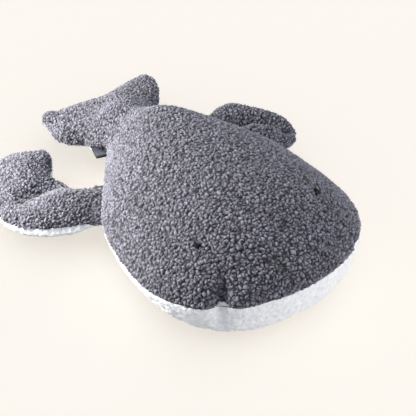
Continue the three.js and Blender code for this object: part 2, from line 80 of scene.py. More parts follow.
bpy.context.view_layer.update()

# %% [markdown]
# ## Camera
# The photograph looks down on the whale from its right front. A camera could be placed by eye, but two
# angles, a distance and a lens are easier to adjust. So it turns about a point inside the body until the
# outline, the seam and the eyes fall into place.

# %% Camera
AIM = Vector((-0.0072, 0.0016, 0.060))
CAMERA_TURN = math.radians(32.96)
CAMERA_RISE = math.radians(43.49)
CAMERA_DISTANCE = 1.599
LENS = 109.2
SENSOR_WIDTH = 36


def make_camera():
    back = Vector((
        -math.sin(CAMERA_TURN) * math.cos(CAMERA_RISE),
        -math.cos(CAMERA_TURN) * math.cos(CAMERA_RISE),
        math.sin(CAMERA_RISE),
    ))
    bpy.ops.object.camera_add(location=AIM + CAMERA_DISTANCE * back)
    camera = bpy.context.object
    camera.rotation_euler = (-back).to_track_quat("-Z", "Y").to_euler()
    camera.data.sensor_width = SENSOR_WIDTH
    camera.data.lens = LENS
    scene.camera = camera
    return camera


print("camera at", [round(v, 3) for v in make_camera().location])

# %% [markdown]
# ## Floor
# The whale lies on a cream floor. Lamps strong enough to make a floor this pale would bleach the whale,
# so what the camera sees of the floor is partly its own pale glow. The rest takes light as usual, which
# keeps the shadow as faint as it is in a bright studio.

# %% Floor
FLOOR_SIZE = 12
FLOOR_COLOUR = (0.95, 0.92, 0.845, 1)
FLOOR_GLOW = (1.0, 0.925, 0.82, 1)
GLOW_STRENGTH = 2.55
GLOW_SHARE = 0.2


def seen_directly(tree):
    """1 where the camera or a mirror sees the surface, 0 where only light bounces."""
    path = tree.nodes.new("ShaderNodeLightPath")
    total = path.outputs["Is Camera Ray"]
    for name in ("Is Glossy Ray", "Is Transmission Ray"):
        node = tree.nodes.new("ShaderNodeMath")
        node.operation = "MAXIMUM"
        tree.links.new(total, node.inputs[0])
        tree.links.new(path.outputs[name], node.inputs[1])
        total = node.outputs["Value"]
    return total


def make_floor():
    bpy.ops.object.select_all(action="DESELECT")
    bpy.ops.mesh.primitive_plane_add(size=FLOOR_SIZE)
    floor = bpy.context.object
    floor.name = "floor"
    paint = bpy.data.materials.new("cream_floor")
    paint.use_nodes = True
    tree = paint.node_tree
    shader = tree.nodes["Principled BSDF"]
    shader.inputs["Base Color"].default_value = FLOOR_COLOUR
    shader.inputs["Roughness"].default_value = 0.9
    shader.inputs["Specular IOR Level"].default_value = 0.1
    glow = tree.nodes.new("ShaderNodeEmission")
    glow.inputs["Color"].default_value = FLOOR_GLOW
    glow.inputs["Strength"].default_value = GLOW_STRENGTH
    share = tree.nodes.new("ShaderNodeMath")
    share.operation = "MULTIPLY"
    share.inputs[1].default_value = GLOW_SHARE
    tree.links.new(seen_directly(tree), share.inputs[0])
    mix = tree.nodes.new("ShaderNodeMixShader")
    tree.links.new(share.outputs["Value"], mix.inputs["Fac"])
    tree.links.new(shader.outputs["BSDF"], mix.inputs[1])
    tree.links.new(glow.outputs["Emission"], mix.inputs[2])
    tree.links.new(mix.outputs["Shader"], tree.nodes["Material Output"].inputs["Surface"])
    floor.data.materials.append(paint)
    return floor


floor = make_floor()
print("floor", FLOOR_SIZE, "m wide")

# %% [markdown]
# ## Light
# A soft key lamp stands behind the right side, so the tail and that side are bright and the head is in
# softer light. A wide fill lamp in front lifts the white cloth, and a cool window lamp behind the left
# side lifts that flipper. One lamp overhead would be simpler, but it would flatten the loops. The lamps
# leave out the floor, which has its glow, and the world lights both and shows the camera a cream room.

# %% Light
KEY_PLACE = Vector((-0.48, 0.36, 0.34))
KEY_WATTS = 10.0
KEY_SIZE = 0.35
FILL_PLACE = Vector((0.42, -0.87, 0.20))
FILL_WATTS = 4.4
FILL_SIZE = 0.6
WINDOW_PLACE = Vector((0.75, 0.35, 0.55))
WINDOW_WATTS = 2.4
WINDOW_SIZE = 0.7
WINDOW_COLOUR = (0.86, 0.93, 1.0)
LAMP_COLOUR = (1.0, 0.98, 0.93)
WORLD_COLOUR = (0.95, 0.965, 1.04, 1)
WORLD_STRENGTH = 0.65
ROOM_COLOUR = (0.985, 0.955, 0.91, 1)


def soft_lamp(name, place, watts, size, colour=LAMP_COLOUR):
    bpy.ops.object.light_add(type="AREA", location=place)
    lamp = bpy.context.object
    lamp.name = name
    lamp.data.energy = watts
    lamp.data.size = size
    lamp.data.color = colour
    lamp.rotation_euler = (AIM - place).to_track_quat("-Z", "Y").to_euler()
    lamp.visible_camera = False
    shaded = bpy.data.collections.new(f"{name}_shaded")
    shaded.objects.link(floor)
    lamp.light_linking.receiver_collection = shaded
    shaded.collection_objects[0].light_linking.link_state = "EXCLUDE"


def light_world():
    world = scene.world or bpy.data.worlds.new("pale_room")
    scene.world = world
    world.use_nodes = True
    tree = world.node_tree
    light = tree.nodes["Background"]
    light.inputs["Color"].default_value = WORLD_COLOUR
    light.inputs["Strength"].default_value = WORLD_STRENGTH
    wall = tree.nodes.new("ShaderNodeBackground")
    wall.inputs["Color"].default_value = ROOM_COLOUR
    mix = tree.nodes.new("ShaderNodeMixShader")
    tree.links.new(seen_directly(tree), mix.inputs["Fac"])
    tree.links.new(light.outputs["Background"], mix.inputs[1])
    tree.links.new(wall.outputs["Background"], mix.inputs[2])
    tree.links.new(mix.outputs["Shader"], tree.nodes["World Output"].inputs["Surface"])


soft_lamp("key_lamp", KEY_PLACE, KEY_WATTS, KEY_SIZE)
soft_lamp("fill_lamp", FILL_PLACE, FILL_WATTS, FILL_SIZE)
soft_lamp("window_lamp", WINDOW_PLACE, WINDOW_WATTS, WINDOW_SIZE, WINDOW_COLOUR)
light_world()
print("lamps:", KEY_WATTS, FILL_WATTS, WINDOW_WATTS, "W")

# %% [markdown]
# ## Small tools
# Operators act on what is selected, so each one here first picks a single object. Points go in and out
# of a mesh as one array, which is how the seams, creases and darts are pressed in later.

# %% Small tools
def pick(*objs):
    bpy.ops.object.select_all(action="DESELECT")
    for obj in objs:
        obj.select_set(True)
    bpy.context.view_layer.objects.active = objs[0]


def points_of(obj):
    flat = np.empty(3 * len(obj.data.vertices), np.float32)
    obj.data.vertices.foreach_get("co", flat)
    return flat.reshape(-1, 3).astype(float)


def everywhere(obj):
    return np.ones(len(obj.data.vertices), bool)


def normals_of(obj):
    flat = np.empty(3 * len(obj.data.vertices), np.float32)
    obj.data.vertex_normals.foreach_get("vector", flat)
    return flat.reshape(-1, 3).astype(float)


def put_points(obj, points):
    obj.data.vertices.foreach_set("co", points.astype(np.float32).ravel())
    obj.data.update()


def push_out(obj, distance):
    """Moves each point along its normal."""
    put_points(obj, points_of(obj) + normals_of(obj) * np.reshape(distance, (-1, 1)))


def ease(values, start, end):
    """Goes smoothly from 0 at the start to 1 at the end."""
    share = np.clip((values - start) / (end - start), 0, 1)
    return share * share * (3 - 2 * share)


def unit(vector):
    return vector / np.linalg.norm(vector)


# %% Tools for selecting and applying
def choose_points(obj, mask):
    """Selects the vertices of the mask, and leaves the object in edit mode."""
    bpy.ops.object.mode_set(mode="OBJECT")
    obj.data.polygons.foreach_set("select", np.zeros(len(obj.data.polygons), bool))
    obj.data.edges.foreach_set("select", np.zeros(len(obj.data.edges), bool))
    obj.data.vertices.foreach_set("select", np.asarray(mask, bool))
    bpy.ops.object.mode_set(mode="EDIT")
    bpy.ops.mesh.select_mode(type="VERT")


def smooth_points(obj, mask, repeat):
    pick(obj)
    choose_points(obj, mask)
    bpy.ops.mesh.vertices_smooth(factor=0.5, repeat=repeat)
    bpy.ops.object.mode_set(mode="OBJECT")


def weld(obj):
    pick(obj)
    bpy.ops.object.mode_set(mode="EDIT")
    bpy.ops.mesh.select_all(action="SELECT")
    bpy.ops.mesh.remove_doubles(threshold=1e-6)
    bpy.ops.object.mode_set(mode="OBJECT")


def remesh(obj, voxel):
    pick(obj)
    obj.data.remesh_voxel_size = voxel
    bpy.ops.object.voxel_remesh()


def copy_object(obj, name):
    """A copy of an object's mesh as a new object of its own."""
    copy = bpy.data.objects.new(name, obj.data.copy())
    scene.collection.objects.link(copy)
    return copy


def apply_modifiers(obj):
    pick(obj)
    for modifier in list(obj.modifiers):
        bpy.ops.object.modifier_apply(modifier=modifier.name)


# %% [markdown]
# ## From solids to one stuffed form
# A stuffed toy has no hard edges. It could be sculpted, but the solids already have its size and place.
# So copies of the two cloths are moved together until they meet at the seam, joined with the stuffing
# and remeshed into one closed skin, which is then smoothed. Round wads fill the corners between solids,
# as a maker pushes fibre into them. Away from the seams the skin is drawn in a little, because the
# filling will press it out again.

# %% One skin from several solids
VOXEL = 0.003
SEAM_CLOSE = 0.001
ROOM = 0.0012
ROOM_FROM = 0.003
ROOM_FULL = 0.02


def make_wad(place, radii):
    """A wad of filling that rounds out a corner between solids."""
    bpy.ops.mesh.primitive_uv_sphere_add(segments=32, ring_count=16, location=place)
    wad = bpy.context.object
    wad.scale = radii
    bpy.ops.object.transform_apply(location=True, rotation=False, scale=True)
    return wad


def keep_outer_skin(form):
    """Drops the bubbles that the remesh leaves in the gaps between the solids."""
    heights = points_of(form)[:, 2]
    choose_points(form, heights == heights.max())
    bpy.ops.mesh.select_linked()
    bpy.ops.mesh.select_all(action="INVERT")
    bpy.ops.mesh.delete(type="VERT")
    bpy.ops.object.mode_set(mode="OBJECT")


def stuffed_form(name, over, under, filling, wads):
    copies = []
    for sources, shift in ((over, -SEAM_CLOSE), (under, SEAM_CLOSE), (filling, 0)):
        for source in sources:
            copy = copy_object(nodes[source], name)
            copy.data.transform(Matrix.Translation((0, 0, shift)))
            copies.append(copy)
    pick(*copies, *wads)
    bpy.ops.object.join()
    form = bpy.context.object
    form.name = name
    form.data.materials.clear()
    weld(form)
    remesh(form, VOXEL)
    keep_outer_skin(form)
    return form


def make_room(form, away):
    """Draws the skin in, but not near its seams."""
    push_out(form, -ROOM * ease(np.abs(away), ROOM_FROM, ROOM_FULL))


# %% [markdown]
# ## Pressing the filling in
# The fibre presses the cloth out between its seams. Points could be moved by hand, but cloth simulation
# swells less evenly, as real cloth does. It blows the skin up from inside, with the seams pinned because
# thread holds them. No point may travel further than the cap, which keeps the size of the solids.

# %% Pressure
FRAMES = 20


def press_filling(form, pinned, pressure, cap):
    before = points_of(form)
    seam = form.vertex_groups.new(name="sewn")
    seam.add(np.flatnonzero(pinned).tolist(), 1, "REPLACE")
    pick(form)
    cloth = form.modifiers.new("filling", "CLOTH")
    cloth.settings.use_pressure = True
    cloth.settings.uniform_pressure_force = pressure
    cloth.settings.effector_weights.gravity = 0
    cloth.settings.vertex_group_mass = seam.name
    for number in range(1, FRAMES + 1):
        scene.frame_set(number)
    bpy.ops.object.modifier_apply(modifier=cloth.name)
    scene.frame_set(1)
    travel = points_of(form) - before
    length = np.linalg.norm(travel, axis=1, keepdims=True)
    put_points(form, before + travel * np.minimum(1, cap / np.maximum(length, 1e-9)))
    print(form.name, "pressed out by", round(float(length.mean()) * 1000, 2), "mm before the cap")


# %% [markdown]
# ## Where the seams run
# The threads in the frame show where the cloths are sewn together. A seam could be drawn as a new curve,
# but a curve fitted to the threads can't drift away from them. Along the body it rises smoothly towards
# the nose, and along the fluke it turns up with the left lobe. On a flipper it follows the rim, so the
# height at a point comes from the thread close to it.

# %% Seam heights
BODY_THREADS = ("body_seam_thread", "closing_stitch_thread", "tail_seam_thread")
HEM_SEAM_DROP = 0.007  # behind a flipper the looped cloth reaches a little further down
HEM_HALF_LENGTH = 0.040
HEM_FADE = 0.01
HEM_INSIDE = (-0.03, -0.01)  # how far inside the hem that drop begins and is full
FLUKE_SEAM_DROP = 0.007  # the looped cloth of the fluke wraps a little way under its rim
TAIL_SEAM_INSET = 0.004
TAIL_BLEND = (-0.01, 0.03)  # before and behind the tail seam, where one curve goes over into the other
TAIL_SEAM_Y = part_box("back_panel")[1].y - TAIL_SEAM_INSET
side_points = np.vstack([points_of(nodes[name]) for name in BODY_THREADS])
side_curve = np.polyfit(side_points[:, 1], side_points[:, 2], 2)
fluke_points = points_of(nodes["fluke_seam_thread"])
fluke_terms = np.c_[np.ones(len(fluke_points)), np.maximum(0, fluke_points[:, 0]) ** 2]
fluke_curve = np.linalg.lstsq(fluke_terms, fluke_points[:, 2], rcond=None)[0]


def hem_of(side):
    """A point on the hem, the direction away from the body and the direction towards the tail."""
    joint = joints[f"{side}_flipper_flap"]
    hem = np.array(joint["pos_m"])
    tailward = unit(np.array(joint["axis"]))
    tailward *= np.sign(tailward[1])
    outward = np.array((tailward[1], -tailward[0], 0))
    return hem, outward * np.sign(outward @ hem), tailward


def body_seam(points):
    x, y = points[:, 0], points[:, 1]
    along_body = np.polyval(side_curve, y)
    along_fluke = fluke_curve[0] + fluke_curve[1] * np.maximum(0, x) ** 2 - FLUKE_SEAM_DROP
    behind = ease(y, TAIL_SEAM_Y + TAIL_BLEND[0], TAIL_SEAM_Y + TAIL_BLEND[1])
    height = along_body * (1 - behind) + along_fluke * behind
    for side in SIDES:
        hem, outward, tailward = hem_of(side)
        along = np.abs((points - hem) @ tailward)
        inside = ease((points - hem) @ outward, *HEM_INSIDE)
        height -= HEM_SEAM_DROP * inside * ease(along, HEM_HALF_LENGTH, HEM_HALF_LENGTH - HEM_FADE)
    return height


# %% Seam heights on a flipper
ROOT_SEAM_DROP = 0.004
ROOT_SEAM_REACH = 0.02
RIM_SEAM_DROP = {"right": 0.0, "left": 0.004}
THREAD_STEP = 6
EVEN_OUT = 1e-6  # square metres, so that the height is even next to the thread


def flipper_seam(side):
    """A function that gives the height of a flipper's seam surface at each point."""
    thread = points_of(nodes[f"{side}_flipper_seam_thread"])[::THREAD_STEP]
    hem, outward, _ = hem_of(side)

    def height(points):
        away = ((points[:, None, :2] - thread[None, :, :2]) ** 2).sum(axis=2)
        weight = 1 / (away + EVEN_OUT) ** 2
        root = ease((points - hem) @ outward, ROOT_SEAM_REACH, 0.0)
        return weight @ thread[:, 2] / weight.sum(axis=1) - ROOT_SEAM_DROP * root - RIM_SEAM_DROP[side]

    return height


def above(form, seam):
    points = points_of(form)
    return points[:, 2] - seam(points)


# %% [markdown]
# ## Body and tail
# The body and the fluke are one run of stuffing, so they start as one skin. After the filling is pressed
# in, the seam line is drawn in a little. Each nose dart is pressed in as a narrow cleft in a wider
# hollow, so the cloth swells to a soft lobe on both sides of it, and each eye gets a small dimple.
# Sculpting brushes could do this too, but a formula of the distance keeps each one in its place.

# %% Grooves, darts and dimples
SEAM_DRAW = 0.0016
SEAM_REACH = 0.010
CLEFT_DEPTH = 0.011
CLEFT_WIDTH = 0.0065
HOLLOW_DEPTH = 0.005
HOLLOW_WIDTH = 0.016
LOBE_HEIGHT = 0.003
LOBE_ASIDE = 0.024
LOBE_WIDTH = 0.014
DART_SHARE = {"right": 1.0, "left": 0.08}  # the left dart is drawn together less
DART_RUN = 1.7  # the cleft runs out beyond its thread
DART_NEAR = 0.08
DART_END = 8  # points of the thread that make up one of its ends
FOLD_DROP = (-0.055, -0.030, -0.012, 0)  # below its foot the cleft becomes a fold of the white cloth
FOLD_SHARE = (0, 0.3, 0.8, 1)
DIMPLE_DEPTH = 0.002
DIMPLE_WIDTH = 0.006
FLANK_PLACE = (0.130, 0.055, 0.062)  # the flanks swell in front of the flippers
FLANK_REACH = 0.055
FLANK_SWELL = 0.0055


def draw_in(form, away):
    """Presses a groove along a seam, deepest where the distance to it is zero."""
    push_out(form, -SEAM_DRAW * np.clip(1 - np.abs(away) / SEAM_REACH, 0, 1) ** 2)


def press_dart(form, side):
    strand = points_of(nodes[f"{side}_dart_thread"])
    order = np.argsort(strand[:, 2])
    foot, top = strand[order[:DART_END]].mean(axis=0), strand[order[-DART_END:]].mean(axis=0)
    normal = np.array(form.closest_point_on_mesh(Vector(foot))[2])
    points = points_of(form)
    aside = np.abs((points - foot) @ unit(np.cross(top - foot, normal)))
    rise = points[:, 2] - foot[2]
    run = ease(rise, DART_RUN * (top - foot)[2], 0) * np.interp(rise, FOLD_DROP, FOLD_SHARE)
    cleft = CLEFT_DEPTH * np.exp(-((aside / CLEFT_WIDTH) ** 2))
    hollow = HOLLOW_DEPTH * np.exp(-((aside / HOLLOW_WIDTH) ** 2))
    lobe = LOBE_HEIGHT * np.exp(-(((aside - LOBE_ASIDE) / LOBE_WIDTH) ** 2))
    near = np.linalg.norm(points - foot, axis=1) < DART_NEAR
    push_out(form, DART_SHARE[side] * near * run * (lobe - cleft - hollow))


def press_dimple(form, node):
    low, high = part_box(node)
    away = np.linalg.norm(points_of(form) - np.array((low + high) / 2), axis=1)
    push_out(form, -DIMPLE_DEPTH * np.exp(-((away / DIMPLE_WIDTH) ** 2)))


def swell_flank(form, side):
    place = np.array(FLANK_PLACE) * (-1 if side == "right" else 1, 1, 1)
    away = np.linalg.norm(points_of(form) - place, axis=1)
    push_out(form, FLANK_SWELL * np.exp(-((away / FLANK_REACH) ** 2)))


# %% Body and tail skin
PIN_REACH = 0.002
BODY_PRESSURE = 4
BODY_CAP = 0.004
STOCK_PLACE = (-0.012, 0.214, 0.048)  # a wad rounds out the stock between the body and the fluke
STOCK_RADII = (0.056, 0.037, 0.038)
SHOULDER_PLACE = (-0.022, 0.195, 0.066)  # a second one carries the right flank on into it
SHOULDER_RADII = (0.034, 0.044, 0.030)
TIP_PLACE = (-0.084, 0.283, 0.046)  # and a third fills the corner of the right lobe
TIP_RADII = (0.014, 0.016, 0.010)
STOCK_HALF = (0.075, 0.06)  # the stretch round the stock that is smoothed more
FIRST_SMOOTH = 2
BODY_SMOOTH = 8
STOCK_SMOOTH = 160
SEAM_CLEAR = 2 * VOXEL  # smoothing stays away from the seams
FLAT_BELOW = 0.002
REST_HEIGHT = 0.001


def off_seam(form, seam):
    return np.abs(above(form, seam)) > SEAM_CLEAR


def make_body_skin():
    form = stuffed_form(
        "body_skin",
        over=("back_panel", "fluke_top"),
        under=("belly_panel", "fluke_bottom"),
        filling=("body_stuffing", "fluke_stuffing"),
        wads=[
            make_wad(STOCK_PLACE, STOCK_RADII),
            make_wad(SHOULDER_PLACE, SHOULDER_RADII),
            make_wad(TIP_PLACE, TIP_RADII),
        ],
    )
    smooth_points(form, everywhere(form), FIRST_SMOOTH)
    smooth_points(form, off_seam(form, body_seam), BODY_SMOOTH)
    stock = (np.abs(points_of(form) - STOCK_PLACE)[:, :2] < STOCK_HALF).all(axis=1)
    smooth_points(form, stock & off_seam(form, body_seam), STOCK_SMOOTH)
    make_room(form, above(form, body_seam))
    press_filling(form, np.abs(above(form, body_seam)) < PIN_REACH, BODY_PRESSURE, BODY_CAP)
    draw_in(form, above(form, body_seam))
    for side in SIDES:
        swell_flank(form, side)
        press_dart(form, side)
        press_dimple(form, f"{side}_eye")
    points = points_of(form)
    points[:, 2] = np.where(points[:, 2] < FLAT_BELOW, REST_HEIGHT, points[:, 2])
    put_points(form, points)
    return form


body_skin = make_body_skin()
print("body skin", len(body_skin.data.vertices), "points")

# %% [markdown]
# ## Flippers
# Each flipper is a flat mitten sewn into the side seam along its hem. It could be one more lobe of the
# body's skin, but a sewn hem shows as a sharp line that smoothing would lose. So it is made by itself,
# like the body, and its root is drawn a little way into the side, where the real hem is caught between
# the two cloths. Wads fill the inside of the elbow and the tip, and a crease runs from the elbow across
# the flipper. The left flipper is pushed together, so its crease is deep and the part next to the body
# swells in front of it.

# %% Places on a flipper
def place_on(side, out, along):
    """A point on a flipper's seam surface, given outwards from the hem and along it."""
    hem, outward, tailward = hem_of(side)
    place = hem + out * outward + along * tailward
    place[2] = flipper_seam(side)(place[None])[0]
    return place


def from_hem(form, side):
    hem, outward, _ = hem_of(side)
    return (points_of(form) - hem) @ outward


def away_from_line(form, side, line):
    """Distance, seen from above, to a line that is given outwards from the hem and along it."""
    hem, outward, tailward = hem_of(side)
    points = points_of(form)[:, :2]
    corners = [(hem + out * outward + along * tailward)[:2] for out, along in line]
    nearest = np.full(len(points), np.inf)
    for start, end in zip(corners, corners[1:]):
        run = np.clip((points - start) @ (end - start) / ((end - start) @ (end - start)), 0, 1)
        nearest = np.minimum(nearest, np.linalg.norm(points - start - np.outer(run, end - start), axis=1))
    return nearest


# %% Flipper skins
FLIPPER_PRESSURE = 40
FLIPPER_CAP = 0.004
ROOT_PIN = 0.003
ROOT_REACH = 0.016
ROOT_DEPTH = 0.014
WADS = {  # outwards from the hem, along it and radii: they fill the inside of the elbow and the tip
    "right": ((0.063, 0.040, (0.024, 0.024, 0.012)), (0.079, 0.113, (0.012, 0.012, 0.010))),
    "left": ((0.030, 0.020, (0.018, 0.018, 0.012)),),
}
WAD_REACH = 0.038
CREASES = {
    "right": ((0.052, 0.046), (0.068, 0.036), (0.092, 0.016)),
    "left": ((0.026, 0.034), (0.044, 0.010), (0.052, -0.014), (0.055, -0.034)),
}
CREASE_SHARE = {"right": 0.6, "left": 0.72}
CREASE_WIDTH = {"right": 0.015, "left": 0.010}
SWELLS = {"right": (), "left": ((0.022, 0.026), (0.038, 0.002), (0.044, -0.020))}
SWELL_HEIGHT = 0.006
SWELL_WIDTH = 0.010
SWELL_HEIGHTS = (0.002, 0.012)  # above the seam, where the swelling begins and is full
HOLLOW_SHARE = {"right": 0.3, "left": 0.6}  # of the height, next to the body
HOLLOW_REACH = 0.024
UNDER_SWELL = {"right": 0.005, "left": 0.0}  # how far the white cloth bulges below the leading edge
UNDER_HEIGHTS = (-0.001, -0.008)
UNDER_OUT = (0.01, 0.04)
FLIPPER_SMOOTH = 6
ELBOW_SMOOTH = 30


def press_crease(form, side, seam):
    """Takes a share of the height away along the crease, and swells the cloth beside it."""
    height = np.maximum(0, above(form, seam))
    away = away_from_line(form, side, CREASES[side])
    crease = CREASE_SHARE[side] * height * np.exp(-((away / CREASE_WIDTH[side]) ** 2))
    swell = SWELL_HEIGHT * np.exp(-((away_from_line(form, side, SWELLS[side]) / SWELL_WIDTH) ** 2))
    hollow = HOLLOW_SHARE[side] * height * np.exp(-((from_hem(form, side) / HOLLOW_REACH) ** 2))
    points = points_of(form)
    points[:, 2] += swell * ease(height, *SWELL_HEIGHTS) - crease - hollow
    put_points(form, points)


def swell_below(form, side, seam):
    """Bulges the cloth under the edge that leads towards the nose."""
    leading = np.clip(-normals_of(form) @ hem_of(side)[2], 0, 1)
    below = ease(above(form, seam), *UNDER_HEIGHTS) * ease(from_hem(form, side), *UNDER_OUT)
    push_out(form, UNDER_SWELL[side] * leading * below)


def make_flipper_skin(side):
    seam = flipper_seam(side)
    form = stuffed_form(
        f"{side}_flipper_skin",
        over=(f"{side}_flipper_top",),
        under=(f"{side}_flipper_bottom",),
        filling=(f"{side}_flipper_stuffing",),
        wads=[make_wad(place_on(side, out, along), radii) for out, along, radii in WADS[side]],
    )
    smooth_points(form, everywhere(form), FIRST_SMOOTH)
    smooth_points(form, off_seam(form, seam), FLIPPER_SMOOTH)
    elbow = np.linalg.norm(points_of(form) - place_on(side, *WADS[side][0][:2]), axis=1) < WAD_REACH
    smooth_points(form, elbow, ELBOW_SMOOTH)
    make_room(form, above(form, seam))
    pinned = (np.abs(above(form, seam)) < PIN_REACH) | (from_hem(form, side) < ROOT_PIN)
    press_filling(form, pinned, FLIPPER_PRESSURE, FLIPPER_CAP)
    press_crease(form, side, seam)
    swell_below(form, side, seam)
    draw_in(form, above(form, seam))
    root = np.clip(1 - from_hem(form, side) / ROOT_REACH, 0, 1)
    put_points(form, points_of(form) - np.outer(ROOT_DEPTH * root, hem_of(side)[1]))
    print(form.name, len(form.data.vertices), "points")
    return form


flipper_skins = {side: make_flipper_skin(side) for side in SIDES}

# %% [markdown]
# ## Cutting the skins into cloths
# The skins are cut where the real cloths are sewn together. Two cloths could be modelled one by one, but
# pieces cut from one skin meet all along their edges. A seam isn't flat, so a skin is lowered by the
# height of the seam at each place, cut by a level plane and raised again.

# %% Cut along the seams
def cut(form, name, place, direction, closed=False):
    """A copy of the part of a form that lies ahead of a plane."""
    piece = copy_object(form, name)
    pick(piece)
    bpy.ops.object.mode_set(mode="EDIT")
    bpy.ops.mesh.select_all(action="SELECT")
    bpy.ops.mesh.bisect(plane_co=place, plane_no=direction, clear_inner=True, use_fill=closed)
    bpy.ops.object.mode_set(mode="OBJECT")
    return piece


def lower_by_seam(form, seam, times):
    points = points_of(form)
    points[:, 2] -= times * seam(points)
    put_points(form, points)


def cut_along(form, name, seam, up):
    lower_by_seam(form, seam, 1)
    piece = cut(form, name, (0, 0, 0), (0, 0, up))
    lower_by_seam(form, seam, -1)
    lower_by_seam(piece, seam, -1)
    return piece


front_skin = cut(body_skin, "front_skin", (0, TAIL_SEAM_Y, 0), (0, -1, 0))
tail_skin = cut(body_skin, "tail_skin", (0, TAIL_SEAM_Y, 0), (0, 1, 0))
covers = {
    "back": cut_along(front_skin, "back_cover", body_seam, 1),
    "belly": cut_along(front_skin, "belly_cover", body_seam, -1),
    "fluke_top": cut_along(tail_skin, "fluke_top_cover", body_seam, 1),
    "fluke_bottom": cut_along(tail_skin, "fluke_bottom_cover", body_seam, -1),
}
for side, skin in flipper_skins.items():
    for part, up in (("top", 1), ("bottom", -1)):
        name = f"{side}_flipper_{part}"
        covers[name] = cut_along(skin, f"{name}_cover", flipper_seam(side), up)
print("cloths cut:", ", ".join(covers))

# %% [markdown]
# ## Fillings
# The stuffing is loose fibre that fills each skin. Strands by the thousand would never be seen, so a
# coarser copy of the skin is drawn in by the thickness of the cloth. It is kept between the cloths over
# and under it, also where a crease brings them close together, and it lies well behind the darts. The
# body's filling is cut off where the fluke's begins.

# %% One filling
FILLING_VOXEL = 0.006
FILLING_INSET = 0.006
FILLING_GAP = 0.005
FILLING_FLAT = 0.0004
FILLING_SMOOTH = 3
OVERHEAD = 1.0  # rays start this far over and under the floor


def keep_between(filling, skin):
    """Keeps the fibre clear of the cloth over and under it; where both are close it lies flat."""
    points = points_of(filling)
    upward = np.sign(normals_of(filling)[:, 2])
    for index, (x, y, z) in enumerate(points):
        is_over, over, *_ = skin.ray_cast((x, y, OVERHEAD), (0, 0, -1))
        is_under, under, *_ = skin.ray_cast((x, y, -OVERHEAD), (0, 0, 1))
        if not (is_over and is_under):
            continue
        middle = (over.z + under.z) / 2
        half = (over.z - under.z) / 2 - FILLING_GAP
        reach = max(half, FILLING_FLAT)
        shift = np.clip(z - middle, -reach, reach) if half > 0 else upward[index] * reach
        points[index, 2] = middle + shift
    put_points(filling, points)


def make_filling(skin, name):
    filling = copy_object(skin, name)
    remesh(filling, FILLING_VOXEL)
    push_out(filling, np.full(len(filling.data.vertices), -FILLING_INSET))
    smooth_points(filling, everywhere(filling), FILLING_SMOOTH)
    keep_between(filling, skin)
    pick(filling)
    bpy.ops.object.shade_smooth()
    return filling


# %% Fillings of the body and the limbs
DART_ROOM = 0.016
DART_STEP = 8  # every eighth point of the thread is enough here


def clear_darts(filling):
    """Draws the fibre in behind the two darts."""
    for side in SIDES:
        strand = points_of(nodes[f"{side}_dart_thread"])[::DART_STEP]
        away = np.linalg.norm(points_of(filling)[:, None] - strand[None], axis=2).min(axis=1)
        push_out(filling, -DART_ROOM * np.exp(-((away / DART_ROOM) ** 2)))


whole_filling = make_filling(body_skin, "whole_filling")
clear_darts(whole_filling)
fillings = {
    "body": cut(whole_filling, "body_filling", (0, TAIL_SEAM_Y, 0), (0, -1, 0), closed=True),
    "fluke": cut(whole_filling, "fluke_filling", (0, TAIL_SEAM_Y, 0), (0, 1, 0), closed=True),
}
for side, skin in flipper_skins.items():
    fillings[f"{side}_flipper"] = make_filling(skin, f"{side}_flipper_filling")
bpy.data.objects.remove(whole_filling)
print("fillings:", {name: len(piece.data.polygons) for name, piece in fillings.items()})

# %% [markdown]
# ## Threads
# Each seam is held by a spun thread just under the cloth. New curves could be drawn for them, but the
# threads of the frame already follow the seams. So copies of them are rounded and sunk below the skin,
# which lies a little deeper than the solids where the seams are drawn in.

# %% Seam threads
STRAND_DEPTH = 0.0028
STRAND_NEAR = 0.003
THREAD_SKINS = {name: body_skin for name in BODY_THREADS}
THREAD_SKINS["fluke_seam_thread"] = body_skin
for side in SIDES:
    THREAD_SKINS[f"{side}_dart_thread"] = body_skin
    THREAD_SKINS[f"{side}_flipper_seam_thread"] = flipper_skins[side]


def sink(strand, skin):
    """Lays a strand at an even depth under a skin, and keeps it round."""
    points = points_of(strand)
    hits = [skin.closest_point_on_mesh(Vector(point)) for point in points]
    surface = np.array([hit[1] for hit in hits])
    normal = np.array([hit[2] for hit in hits])
    near = np.linalg.norm(points[:, None] - points[None], axis=2) < STRAND_NEAR
    height = near @ ((points - surface) * normal).sum(axis=1) / near.sum(axis=1)
    normal = near @ normal
    normal /= np.linalg.norm(normal, axis=1, keepdims=True)
    put_points(strand, points - normal * (height + STRAND_DEPTH)[:, None])


def make_strand(thread):
    strand = copy_object(nodes[thread], thread.replace("_thread", "_strand"))
    weld(strand)
    sink(strand, THREAD_SKINS[thread])
    strand.modifiers.new("round", "SUBSURF").levels = 1
    apply_modifiers(strand)
    bpy.ops.object.shade_smooth()
    return strand


strands = {thread: make_strand(thread) for thread in THREAD_SKINS}
print("threads:", len(strands))

# %% [markdown]
# ## Eyes
# An eye is a small knot: a few turns of thick black thread that cross each other and sink into the pile.
# A ball would be quicker, but its even shine would give it away. So each turn is a ring, tipped a little
# differently. The left knot is looser, two turns side by side with one stitch that runs out of it.

